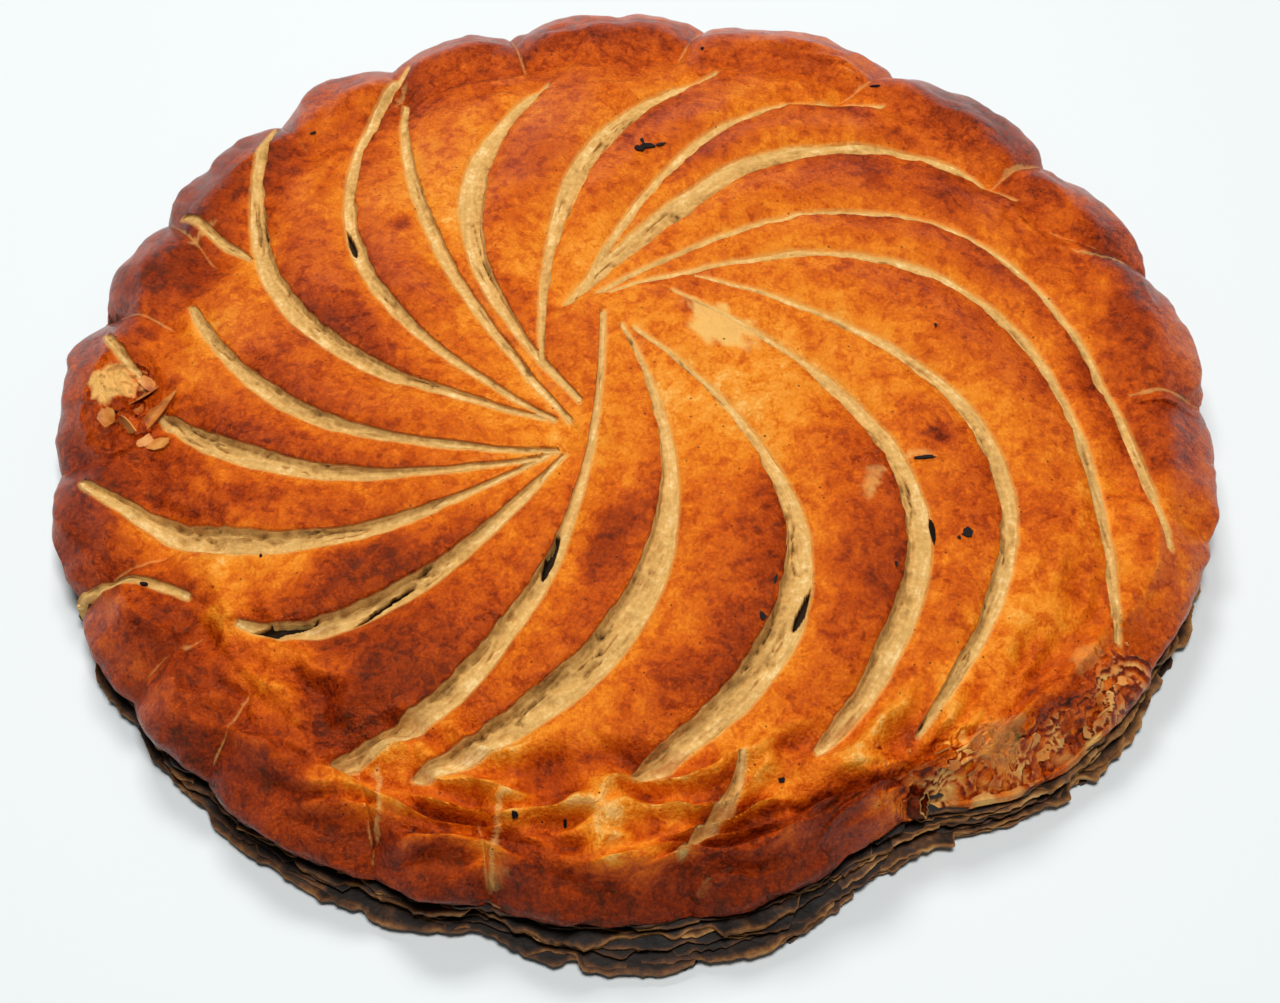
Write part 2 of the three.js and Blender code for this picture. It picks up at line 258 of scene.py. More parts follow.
def cut_fields(x, y):
    """What the knife cuts do at plan positions, in millimetres and shares."""
    fields = {"puff": np.ones(len(x))}
    for name in ("groove", "roll", "lip", "valley", "slope_side"):
        fields[name] = np.zeros(len(x))
    fields["beyond"] = np.full(len(x), FAR_FROM_CUTS)
    for number, cut in enumerate(KNIFE_CUTS):
        near, left, along, length = cut_place(x, y, cut, CUT_NEIGHBOURHOOD)
        edge_left, edge_right, depth = cut_section(number, along, length)
        from_left = left - edge_left
        from_right = -left - edge_right
        past_end = np.maximum(along - length, -along)
        outside = np.maximum(np.maximum(from_left, from_right), past_end)
        slope_side = smoothstep(-edge_right, edge_left, left)
        reach = LIP_SIDE_REACH + (SLOPE_SIDE_REACH - LIP_SIDE_REACH) * slope_side
        dip = LIP_SIDE_DIP + (SLOPE_SIDE_DIP - LIP_SIDE_DIP) * slope_side
        dip *= np.clip((edge_left + edge_right) / OPEN_WIDTH, 0.3, 1)
        fields["puff"][near] *= 1 - dip * np.exp(-np.maximum(outside, 0) / reach)
        groove = (depth + GROOVE_CLEARANCE) * smoothstep(-0.08, -0.5, outside)
        opened = np.clip((edge_left + edge_right) / OPEN_WIDTH, 0, 1) * smoothstep(1.5, 0, past_end)
        rounding = EDGE_ROUNDING * opened * smoothstep(1.3, 0, np.maximum(from_left, 0)) * (left > 0)
        lift = LIP_LIFT * opened * np.exp(-np.maximum(from_right, 0) / LIP_LIFT_REACH)
        lift *= smoothstep(-0.3, 0.2, from_right)
        fields["groove"][near] = np.maximum(fields["groove"][near], groove)
        fields["roll"][near] += lift - rounding
        nearest = outside < fields["beyond"][near]
        fields["slope_side"][near] = np.where(nearest, slope_side, fields["slope_side"][near])
        fields["beyond"][near] = np.minimum(fields["beyond"][near], outside)
        lip = opened * np.exp(-np.maximum(from_right, 0) / BROWNING_REACH) * (left < 0)
        valley = opened * np.exp(-np.maximum(from_left, 0) / BROWNING_REACH) * (left >= 0)
        fields["lip"][near] = np.maximum(fields["lip"][near], lip)
        fields["valley"][near] = np.maximum(fields["valley"][near], valley)
    return fields


def sheet_height(radius):
    """Height of the upper sheet before it was cut or drawn in."""
    fill = np.maximum(0, 1 - (radius / SEAM_RADIUS) ** DOME_POWER)
    roll = np.exp(-((radius - ROLL_RADIUS) / ROLL_WIDTH) ** 2)
    dome = SEAM_HEIGHT + (CROWN_HEIGHT - PUFF_HEIGHT - SEAM_HEIGHT) * fill
    past = np.clip((radius - ROLL_RADIUS) / (EDGE_RADIUS - ROLL_RADIUS), 0, 1)
    shoulder = 1 - np.sqrt(1 - past ** 2)
    return (dome + ROLL_HEIGHT * roll) * (1 - shoulder) + LIP_HEIGHT * shoulder


def turn_to(bearing, other):
    return (other - bearing + 540) % 360 - 180


def pinch_at(radius, bearing):
    """How deep the border is pinched, a crease in a wider dip, and where the crease itself is."""
    pinch = np.zeros(bearing.shape)
    crease = np.zeros(bearing.shape)
    for at, strength, slant in PINCHES:
        turn = np.abs(turn_to(bearing, at + slant * (EDGE_RADIUS - radius)))
        dip = 0.55 * np.exp(-turn / PINCH_STEEP) + 0.45 * np.exp(-(turn / PINCH_GENTLE) ** 2)
        pinch = np.maximum(pinch, strength * dip)
        crease = np.maximum(crease, strength * np.exp(-(turn / CREASE) ** 2))
    return pinch, crease


def draw_in(radius, bearing, height):
    """How far a point was drawn in, by its place before that."""
    level = smoothstep(0, LIP_HEIGHT, height)
    depth = np.zeros(bearing.shape)
    for at, spread, upper, lower in DRAWN_IN:
        depth += (lower + (upper - lower) * level) * np.exp(-(turn_to(bearing, at) / spread) ** 2)
    return depth * smoothstep(DRAW_START, EDGE_RADIUS, radius)


def before_drawing(x, y):
    """The radius that a point of the upper sheet had before it was pinched and drawn in, and its bearing."""
    reach = np.hypot(x, y)
    bearing = np.degrees(np.arctan2(y, x)) % 360
    radius = reach
    for _ in range(UNDRAW_PASSES):
        pinched = PINCH_RADIAL * pinch_at(radius, bearing)[0] * smoothstep(*BORDER_ZONE, radius)
        radius = np.minimum(reach + draw_in(radius, bearing, sheet_height(radius)) + pinched, EDGE_RADIUS)
    return radius, bearing


def wrinkles_at(radius, bearing):
    """Folds along the border, highest on the near side, where the sheet was pushed together."""
    arc = np.radians(bearing) * ROLL_RADIUS
    where = smoothstep(*WRINKLE_ZONE, radius) * smoothstep(EDGE_RADIUS, WRINKLE_END, radius)
    near_side = np.exp(-(turn_to(bearing, WRINKLED_BEARING) / WRINKLED_SPREAD) ** 2)
    slanted = radius + 0.12 * arc + 4 * unevenness(arc, radius, 20, 37)
    slanted += 1.5 * unevenness(arc, radius, 7, 38)
    folds = 1.7 * (0.4 - np.abs(streaks(arc, slanted, 24, 8, 34))) + 0.6 * streaks(arc, slanted, 9, 3.2, 36)
    return where * (0.25 + 1.6 * near_side) * folds


def torn_level(x, y):
    """How many leaves of the skin are gone at a place, with how far on it is to the next one."""
    bearing = np.degrees(np.arctan2(y, x)) % 360
    ragged = 0.9 * unevenness(x, y, 8, 61) + 0.7 * unevenness(x, y, 3.4, 62) + 0.4 * unevenness(x, y, 1.6, 63)
    level = smoothstep(1.2, 0.7, in_patch(x, y, TORN)) * (1.2 + 1.7 * ragged)
    inward = np.interp(bearing, CORNER_BEARINGS, CORNER_RADII) - np.hypot(x, y)
    at_corner = smoothstep(296, 300, bearing) * smoothstep(332, 322, bearing)
    level += at_corner * np.clip((CORNER_DEPTH - inward) / CORNER_TREAD + 2 * ragged, 0, CORNER_STEPS)
    return np.clip(level, 0, CORNER_STEPS - 0.01)


def torn_steps(x, y):
    """Steps down at a place, a leaf of skin each. Where the tear begins, the skin stands up by one leaf."""
    level = torn_level(x, y)
    return np.floor(level) + smoothstep(0, 0.25, level - np.floor(level)) - (level > 0)


def fold_at(x, y):
    """Height of the curled fold: a ridge with a crease on its inner side."""
    span = FOLD_END - FOLD_START
    length = np.hypot(*span)
    ahead = span / length
    along = (x - FOLD_START[0]) * ahead[0] + (y - FOLD_START[1]) * ahead[1]
    left = (y - FOLD_START[1]) * ahead[0] - (x - FOLD_START[0]) * ahead[1]
    ends = smoothstep(-6, 10, along) * smoothstep(length + 1.5, length - 1.5, along)
    ridge = np.exp(-(left / FOLD_HALF_WIDTH) ** 4)
    crease = np.exp(-((left - FOLD_HALF_WIDTH - 1) / 1.2) ** 2)
    return ends * (FOLD_RISE * ridge - FOLD_CREASE * crease)


def crust_top(x, y, radius, bearing, puff):
    """Height of the upper sheet between the cuts."""
    border = smoothstep(*BORDER_ZONE, radius)
    rim = smoothstep(ROLL_RADIUS, EDGE_RADIUS, radius)
    relief = 0.9 * unevenness(x, y, 26, 31) + 0.5 * unevenness(x, y, 11, 32) + 0.2 * unevenness(x, y, 4.5, 33)
    relief += 0.8 * border * unevenness(x, y, 8, 35) + WRINKLE_DEPTH * wrinkles_at(radius, bearing)
    top = sheet_height(radius) + PUFF_HEIGHT * puff * (1 - border) + relief * (1 - 0.6 * rim)
    pressed = PINCH_DROP * pinch_at(radius, bearing)[0] * smoothstep(*PINCH_ZONE, radius)
    return top - pressed + fold_at(x, y) - TORN_STEP * torn_steps(x, y)


def deselect_all():
    for thing in bpy.context.selected_objects:
        thing.select_set(False)


def positions(thing):
    """A mesh's vertices in millimetres."""
    flat = np.empty(len(thing.data.vertices) * 3, np.float32)
    thing.data.vertices.foreach_get("co", flat)
    return flat.reshape(-1, 3).astype(float) / MM


def move_to(thing, points):
    thing.data.vertices.foreach_set("co", (points * MM).astype(np.float32).ravel())
    thing.data.update()


def apply_modifier(thing, kind, **settings):
    bpy.context.view_layer.objects.active = thing
    modifier = thing.modifiers.new(kind.lower(), kind)
    for name, value in settings.items():
        setattr(modifier, name, value)
    bpy.ops.object.modifier_apply(modifier=modifier.name)


def set_attribute(thing, name, values):
    layer = thing.data.attributes.new(name, "FLOAT", "POINT")
    layer.data.foreach_set("value", np.asarray(values, np.float32))


def close_below(loops):
    """Extrudes the rim of the active grid down that many times, and closes it underneath."""
    bpy.ops.object.mode_set(mode="EDIT")
    bpy.ops.mesh.select_all(action="SELECT")
    bpy.ops.mesh.region_to_loop()
    for _ in range(loops):
        bpy.ops.mesh.extrude_edges_move(TRANSFORM_OT_translate={"value": (0, 0, -1)})
    bpy.ops.mesh.edge_face_add()
    bpy.ops.object.mode_set(mode="OBJECT")


# The blank is a square grid with its rim extruded into the loops of the side, each given here by its
# radius and height, and closed underneath.
GRID = 700
TRIANGLES = 190000
SMOOTH_SKIN = 50  # degrees below which an edge of the skin is shaded smooth
RIM_CIRCLE = 150  # radius on which the unevenness of the rim is taken
SIDE_LOOPS = ((151.2, 11.9), (145, 12.2), (141, 6.5), (142, 1.5), (144, 0.2))
deselect_all()
bpy.ops.mesh.primitive_grid_add(x_subdivisions=GRID, y_subdivisions=GRID, size=2)
crust = bpy.context.object
crust.name = "galette_crust"
close_below(len(SIDE_LOOPS))

blank = positions(crust) * MM
loop_number = np.round(-blank[:, 2]).astype(int)
a, b = blank[:, 0], blank[:, 1]
wide = np.abs(a) >= np.abs(b)
signed = np.where(wide, a, b)
ratio = np.where(wide, b, a) / np.where(signed == 0, 1, signed)
angle = np.where(wide, math.pi / 4 * ratio, math.pi / 2 - math.pi / 4 * ratio) + math.pi * (signed < 0)
bearing = np.degrees(angle) % 360
radius = EDGE_RADIUS * np.abs(signed)
height = sheet_height(radius)
for number, (loop_radius, loop_height) in enumerate(SIDE_LOOPS, 1):
    radius[loop_number == number] = loop_radius
    height[loop_number == number] = loop_height
pinch = pinch_at(radius, bearing)[0] * smoothstep(*BORDER_ZONE, radius)
rim = smoothstep(ROLL_RADIUS, EDGE_RADIUS, radius)
rim_x = RIM_CIRCLE * np.cos(angle)
rim_y = RIM_CIRCLE * np.sin(angle)
ragged_rim = 0.8 * unevenness(rim_x, rim_y, 8, 21) + 0.25 * unevenness(rim_x, rim_y, 2.5, 22)
lumps = 1.8 * unevenness(rim_x, rim_y + 1.5 * height, 14, 23)
lumps += 0.9 * unevenness(rim_x, rim_y + 2 * height, 6, 25)
ragged_rim += lumps * smoothstep(LIP_HEIGHT - 1, LIP_HEIGHT + 3, height)
reach = radius - draw_in(radius, bearing, height) - PINCH_RADIAL * pinch
reach += rim * ragged_rim * (loop_number < 2)
x, y = snap_to_edges(reach * np.cos(angle), reach * np.sin(angle))
cuts = cut_fields(x, y)
top = crust_top(x, y, radius, bearing, cuts["puff"]) + cuts["roll"] - cuts["groove"]
lip_wave = rim * (1.5 * unevenness(rim_x, rim_y, 17, 41) + 0.5 * unevenness(rim_x, rim_y, 6, 42))
z = np.where(loop_number == 0, top, height) + lip_wave * (loop_number < 3)
move_to(crust, np.stack([x, y, z], axis=1))
apply_modifier(crust, "DECIMATE", ratio=TRIANGLES / (2 * len(crust.data.polygons)))
bpy.ops.object.shade_smooth_by_angle(angle=math.radians(SMOOTH_SKIN))

# How the oven browned it: patches by place, half length, half width and turn in the plan, and how
# much darker they are, or lighter where the last number is below zero.
# One of them, along the crease above the curled fold, is painted shadow rather than browning.
BROWNED = (
    (-62, -82, 24, 13, 30, 0.36),
    (-68, -92, 14, 8, 35, 0.2),
    (-42, -88, 6, 12, -40, 0.12),
    (-48, -52, 16, 5, 30, 0.3),
    (-70, -64, 10, 4, 25, 0.22),
    (-6, -58, 6, 12, -25, 0.4),
    (-140, -26, 6, 18, 0, 0.25),
    (-118, -18, 10, 7, -20, 0.22),
    (-100, -36, 22, 4, -12, 0.22),
    (-113, -72, 8, 14, 30, 0.2),
    (-94, -106, 20, 8, -42, 0.35),
    (-102, -102, 6, 4, 45, 0.5),
    (-45, -130, 24, 7, -12, 0.35),
    (-12, -135, 24, 6, 0, 0.45),
    (22, -132, 26, 7, 8, 0.5),
    (41, -120, 12, 4, 15, 0.35),
    # Painted shadow in the crease above the curled fold
    (50, -112.5, 16, 1.8, 19, 0.8),
    (100, -86, 20, 9, 25, 0.16),
    (96, -42, 5, 5, 0, 0.22),
    (54, -48, 6, 14, 0, 0.14),
    (20, -58, 12, 14, 0, 0.1),
    (19, -86, 8, 8, 0, 0.16),
    (49, -72, 6, 8, 30, 0.14),
    (133, -8, 8, 12, 0, 0.2),
    (-115, 86, 9, 14, -30, 0.3),
    (-131, 44, 9, 22, -15, 0.35),
    (-27, 78, 6, 14, -20, 0.2),
    (-32, 28, 8, 6, 0, 0.14),
    (-75, 15, 14, 5, -35, 0.18),
    (-20, 138, 24, 7, 0, 0.18),
    (56, 74, 8, 5, 0, 0.22),
    (88, 65, 6, 11, 20, 0.22),
    (70, 95, 16, 5, -22, 0.18),
    (98, 105, 18, 9, -40, 0.4),
    (129, 56, 6, 12, 10, 0.35),
    (131, 32, 5, 14, -15, 0.25),
    (112, 75, 8, 10, 0, 0.2),
    (140, 8, 7, 10, 0, 0.15),
    (-65, 51, 4, 2.5, 20, 0.4),
    (71, -21.5, 4.5, 2, 0, 0.6),
    (25, -15, 22, 18, 0, -0.12),
    (60, 12, 24, 13, -20, -0.06),
    (-95, 95, 11, 16, -30, -0.16),
    (-52, 55, 7, 20, 15, -0.14),
    (-92, -55, 16, 9, 0, -0.12),
    (-20, -36, 9, 16, -20, -0.12),
    (5, -106, 18, 6, 0, -0.1),
    (105, -72, 14, 8, 40, -0.14),
    (-115, 20, 10, 12, 0, -0.1),
)
# Where the egg-washed skin flaked off and bare pastry shows: place, half length, half width, turn, and
# how much of the skin is gone
BARE = (
    (22, 12, 11, 5.5, -38, 1.0),
    (57.5, -35, 6, 2.6, 75, 0.5),
    (71, -24.6, 4.5, 1.2, 0, 0.5),
    (-135, 5, 6.5, 5, 0, 0.9),
    (-30.5, -131.5, 3, 2.2, 20, 0.3),
    (14, -134, 2.5, 1.6, 40, 0.25),
    (84, -98, 7, 4, 40, 0.4),
    (107, -77, 6, 4, 40, 0.35),
    (-59.1, -115, 10.5, 0.7, 88, 0.6),
    (-31.4, -122, 9.5, 0.7, 88, 0.6),
    (124.6, 49.3, 10, 0.9, -18, 0.5),
    (135, 4, 11, 0.9, 5, 0.5),
    (108, 84.5, 7, 0.9, 36, 0.5),
    (-118.8, 59, 6, 1, 50, 0.5),
    (-68, 111.8, 6, 0.9, 79, 0.4),
)

EDGE_REACH = 2  # how far from a cut its golden rim can spread
NEAR_BEARING = 258  # the camera's side of the border, dark low down from browning and painted shade
NEAR_SPREAD = 50
SOFT_FROM = 0.3  # browning above this is held back, so that patches do not add up to black
SOFT_RANGE = 0.32
x, y, z = positions(crust).T
radius, bearing = before_drawing(x, y)
cuts = cut_fields(x, y)
folds = wrinkles_at(radius, bearing)
patchy = unevenness(x, y, 28, 50)
crease = pinch_at(radius, bearing)[1] * smoothstep(*PINCH_ZONE, radius) * smoothstep(12, 16, z)
near_side = np.exp(-(turn_to(bearing, NEAR_BEARING) / NEAR_SPREAD) ** 2)
# Tops of the petals brown more; lips of the cuts are darker, valleys and the middle of the cake lighter.
toast_and_painted_light = 0.21 - 0.06 * cuts["valley"] + 0.17 * cuts["lip"] * np.clip(0.7 + 1.2 * patchy, 0, 1.6)
toast_and_painted_light += 0.12 * (cuts["puff"] - 0.5) - 0.13 * smoothstep(65, 15, np.hypot(x, y))
# The border browns by side; low down on the near side it is darkest, from browning and painted shade.
toast_and_painted_light += 0.07 * smoothstep(112, 130, radius) * (1 + np.cos(np.radians(bearing - 185)))
low_down = smoothstep(19, 13, z) * smoothstep(126, 138, radius)
toast_and_painted_light += 0.36 * near_side * low_down * np.clip(0.75 + 0.9 * unevenness(x, y, 18, 51), 0.2, 1.3)
toast_and_painted_light += 0.04 * smoothstep(112, 125, radius) * (1 - near_side)
# The tops of the folds are painted paler as highlight, and their troughs darker as shade.
toast_and_painted_light -= 0.22 * folds + 0.08 * near_side * smoothstep(104, 118, radius)
# Unevenness of every size, and the patches with winding outlines
toast_and_painted_light += 0.03 * patchy + 0.05 * unevenness(x, y, 9, 52) + 0.06 * unevenness(x, y, 4, 57)
toast_and_painted_light += 0.08 * unevenness(x, y, 2, 58)
warped_x = x + 7 * unevenness(x, y, 15, 53) + 2.5 * unevenness(x, y, 5, 55)
warped_y = y + 7 * unevenness(x, y, 15, 54) + 2.5 * unevenness(x, y, 5, 56)
for patch in BROWNED:
    toast_and_painted_light += patch[5] * np.exp(-0.7 * in_patch(warped_x, warped_y, patch) ** 2)
held_back = SOFT_FROM + SOFT_RANGE * np.tanh((toast_and_painted_light - SOFT_FROM) / SOFT_RANGE)
toast_and_painted_light = np.where(toast_and_painted_light > SOFT_FROM, held_back, toast_and_painted_light)
# Torn steps get painted shade in their crevices and are bare at their edges.
torn = torn_level(x, y)
on_step = torn - np.floor(torn)
crevice_shade = smoothstep(0.4, 0.15, on_step) * (torn >= 1)
toast_and_painted_light += 0.32 * crevice_shade - 0.1 * smoothstep(0.5, 1.5, torn)
bare = smoothstep(0.8, 1.2, torn) * (0.4 + 0.4 * smoothstep(0.6, 0.95, on_step) - 0.5 * crevice_shade)
bare *= np.clip(0.75 + 0.8 * unevenness(x, y, 5, 67), 0, 1.3)
frayed = 0.35 * unevenness(x, y, 4, 59) + 0.2 * unevenness(x, y, 1.6, 60)
winding_x = x + 1.3 * unevenness(x, y, 5, 68)
for patch in BARE:
    bare = np.maximum(bare, patch[5] * smoothstep(1.25, 0.75, in_patch(winding_x, y, patch) + frayed))
bare = np.maximum(bare, 0.45 * smoothstep(0.6, 1.0, crease + 0.3 * frayed))
set_attribute(crust, "toast_and_painted_light", toast_and_painted_light)
set_attribute(crust, "edge", np.clip(1 - cuts["beyond"] / EDGE_REACH, 0, 2))
set_attribute(crust, "slope_side", cuts["slope_side"])
set_attribute(crust, "bare", bare)


# Egg-washed puff pastry, browned in the oven: a thin glossy skin, finely wrinkled, amber in the
# hollows and dark on what stood up, with a few burnt specks. Its cut edge is pale.
# Its browning also carries painted shade and painted highlight, and its fine pale specks are painted glints.
def linear(hex_colour):
    """An sRGB hex colour as linear red, green, blue and alpha."""
    shades = [int(hex_colour[i:i + 2], 16) / 255 for i in (1, 3, 5)]
    return tuple(s / 12.92 if s <= 0.04045 else ((s + 0.055) / 1.055) ** 2.4 for s in shades) + (1,)


def fill_sockets(tree, node, inputs):
    """Links or sets what goes into a node's sockets."""
    for socket, value in inputs.items():
        if isinstance(value, bpy.types.NodeSocket):
            tree.links.new(value, node.inputs[socket])
        else:
            node.inputs[socket].default_value = value


def add_node(tree, kind, inputs=None, stops=None, **settings):
    """Adds a node, with its settings, what goes into its sockets, and a colour ramp's stops."""
    made = tree.nodes.new(kind)
    for name, value in settings.items():
        setattr(made, name, value)
    fill_sockets(tree, made, inputs or {})
    for number, (place, colour) in enumerate(stops or ()):
        elements = made.color_ramp.elements
        stop = elements[number] if number < 2 else elements.new(place)
        stop.position = place
        stop.color = linear(colour)
    return made


def new_material(name):
    material = bpy.data.materials.new(name)
    material.use_nodes = True
    return material, material.node_tree, material.node_tree.nodes["Principled BSDF"]


pastry, tree, shader = new_material("egg_washed_puff_pastry")
place = add_node(tree, "ShaderNodeTexCoord").outputs["Object"]
browned_and_painted_light, flaked_off, at_cut, slope_side = (
    add_node(tree, "ShaderNodeAttribute", attribute_name=name).outputs["Fac"]
    for name in ("toast_and_painted_light", "bare", "edge", "slope_side")
)
# Blotches of about 2 mm with finer ones inside them
mottle = add_node(tree, "ShaderNodeTexNoise", {
    "Vector": place, "Scale": 1 / (2.4 * MM), "Detail": 5.0, "Roughness": 0.75,
}).outputs["Fac"]
# The skin's fine wrinkles, about a millimetre apart, darker on their crests
wrinkle = add_node(tree, "ShaderNodeTexNoise", {
    "Vector": place, "Scale": 1 / (0.9 * MM), "Detail": 2.0, "Roughness": 0.6,
}).outputs["Fac"]
browning = browned_and_painted_light
for texture, weight in ((mottle, 0.4), (wrinkle, 0.16)):
    browning = add_node(tree, "ShaderNodeMath", {
        0: texture, 1: weight, 2: browning,
    }, operation="MULTIPLY_ADD").outputs[0]
browning = add_node(tree, "ShaderNodeMath", {0: browning, 1: 0.1}, operation="SUBTRACT").outputs[0]
# Spots of 1 to 2 mm that caught more heat, with rather sharp edges
spots = add_node(tree, "ShaderNodeTexNoise", {
    "Vector": place, "Scale": 1 / (3.2 * MM), "Detail": 3.0, "Roughness": 0.6, "Distortion": 0.6,
}).outputs["Fac"]
spots = add_node(tree, "ShaderNodeMapRange", {
    "Value": spots, "From Min": 0.5, "From Max": 0.62, "To Min": -0.03, "To Max": 0.1,
}).outputs[0]
browning = add_node(tree, "ShaderNodeMath", {0: browning, 1: spots}, operation="ADD").outputs[0]
# Fine pale specks, half a millimetre across: painted glints of the wrinkled skin
glint_speck = add_node(tree, "ShaderNodeTexNoise", {
    "Vector": place, "Scale": 1 / (0.8 * MM), "Detail": 1.0, "Roughness": 0.5,
}).outputs["Fac"]
glint_speck = add_node(tree, "ShaderNodeMapRange", {
    "Value": glint_speck, "From Min": 0.4, "From Max": 0.68, "To Min": 0.02, "To Max": -0.07,
}).outputs[0]
browning = add_node(tree, "ShaderNodeMath", {0: browning, 1: glint_speck}, operation="ADD").outputs[0]
skin = add_node(tree, "ShaderNodeValToRGB", {"Fac": browning}, stops=(
    (0.0, "#fbbc66"),
    (1.0, "#220602"),
    (0.10, "#f8a038"),
    (0.22, "#f28a1c"),
    (0.36, "#e0690c"),
    (0.50, "#c64d06"),
    (0.64, "#9e3203"),
    (0.78, "#721c03"),
    (0.90, "#4c1404"),
)).outputs["Color"]
# Bare pastry where the skin flaked off
frayed = add_node(tree, "ShaderNodeMath", {
    0: mottle, 1: 0.6, 2: flaked_off,
}, operation="MULTIPLY_ADD").outputs[0]
bare_share = add_node(tree, "ShaderNodeMapRange", {
    "Value": frayed, "From Min": 0.5, "From Max": 1.1, "To Max": 0.85,
}).outputs[0]
# A golden rim on the slope side of a cut, and the bare crumb inside it
frayed = add_node(tree, "ShaderNodeMath", {0: mottle, 1: 0.5, 2: at_cut}, operation="MULTIPLY_ADD").outputs[0]
rim_share = add_node(tree, "ShaderNodeMapRange", {
    "Value": frayed, "From Min": 0.7, "From Max": 1.2, "To Max": 0.85,
}).outputs[0]
rim_share = add_node(tree, "ShaderNodeMath", {0: rim_share, 1: slope_side}, operation="MULTIPLY").outputs[0]
cut_edge = add_node(tree, "ShaderNodeMapRange", {
    "Value": at_cut, "From Min": 1.0, "From Max": 1.06,
}).outputs[0]
# Burnt specks under a millimetre across
speck = add_node(tree, "ShaderNodeTexVoronoi", {"Vector": place, "Scale": 1 / (4.5 * MM)}).outputs["Distance"]
speck_share = add_node(tree, "ShaderNodeMapRange", {
    "Value": speck, "From Min": 0.08, "From Max": 0.05, "To Max": 0.85,
}).outputs[0]
# Each lies over the one before: bare pastry, golden rim, cut edge, burnt speck
over_skin = (
    (bare_share, "#f8c26c"),
    (rim_share, "#f0b45e"),
    (cut_edge, "#c89c58"),
    (speck_share, "#33100a"),
)
for share, shade in over_skin:
    skin = add_node(tree, "ShaderNodeMix", {0: share, 6: skin, 7: linear(shade)}, data_type="RGBA").outputs[2]
blisters = add_node(tree, "ShaderNodeBump", {
    "Height": mottle, "Distance": 1.2 * MM, "Strength": 0.75,
}).outputs[0]
bump = add_node(tree, "ShaderNodeBump", {
    "Height": wrinkle, "Distance": 0.9 * MM, "Strength": 0.45, "Normal": blisters,
}).outputs[0]
gloss = add_node(tree, "ShaderNodeMapRange", {
    "Value": browning, "From Min": 0.2, "From Max": 0.7, "To Min": 0.17, "To Max": 0.12,
}).outputs[0]
gloss = add_node(tree, "ShaderNodeMath", {0: cut_edge, 1: 0.4, 2: gloss}, operation="MULTIPLY_ADD").outputs[0]
fill_sockets(tree, shader, {
    "Base Color": skin, "Roughness": gloss, "Normal": bump,
    "Specular IOR Level": 0.36, "Specular Tint": linear("#ffc48c"),
})
crust.data.materials.append(pastry)
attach(crust, "root")
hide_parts("galette")

# The crumb in the cuts
# Under the skin the sheet is many thin leaves of dough, pale and matt, which the oven pulled apart.
# Each cut shows them as a floor, torn and pored, that rises from the upright lip to a cream-coloured edge.
CRUMB_ALONG = 0.7  # size of the mesh's faces along a cut and across it
CRUMB_ACROSS = 0.36
UNDER_LIP = 0.6  # how far the crumb runs on under the lip, and past the sloping edge
OVER_EDGE = 0.7
CRUMB_THICKNESS = 4
SKIN_THICKNESS = 0.7
RIM_ABOVE = 0.2
SLIT_DEPTH = 2.5
THREAD_LENGTH = 7
THREAD_WIDTH = 0.8
SMOOTH_CRUMB = 60
# Slits where the leaves parted, painted near black as shade: place, half length, half width and turn
SHADED_SLITS = (
    (-77, 49.5, 6, 0.9, -70),
    (-20.5, -55, 6, 0.9, 73),
    (-84, -70.5, 9, 1.2, 12),
    (-60, -66, 8, 0.5, 35),
    (40, -67.5, 7, 0.9, 62),
)


def join_all(pieces, name, smooth_below):
    """Joins pieces into one object, shaded smooth at edges below an angle in degrees."""
    deselect_all()
    for piece in pieces:
        piece.select_set(True)
    bpy.context.view_layer.objects.active = pieces[0]
    bpy.ops.object.join()
    joined = bpy.context.object
    joined.name = name
    bpy.ops.object.shade_smooth_by_angle(angle=math.radians(smooth_below))
    return joined


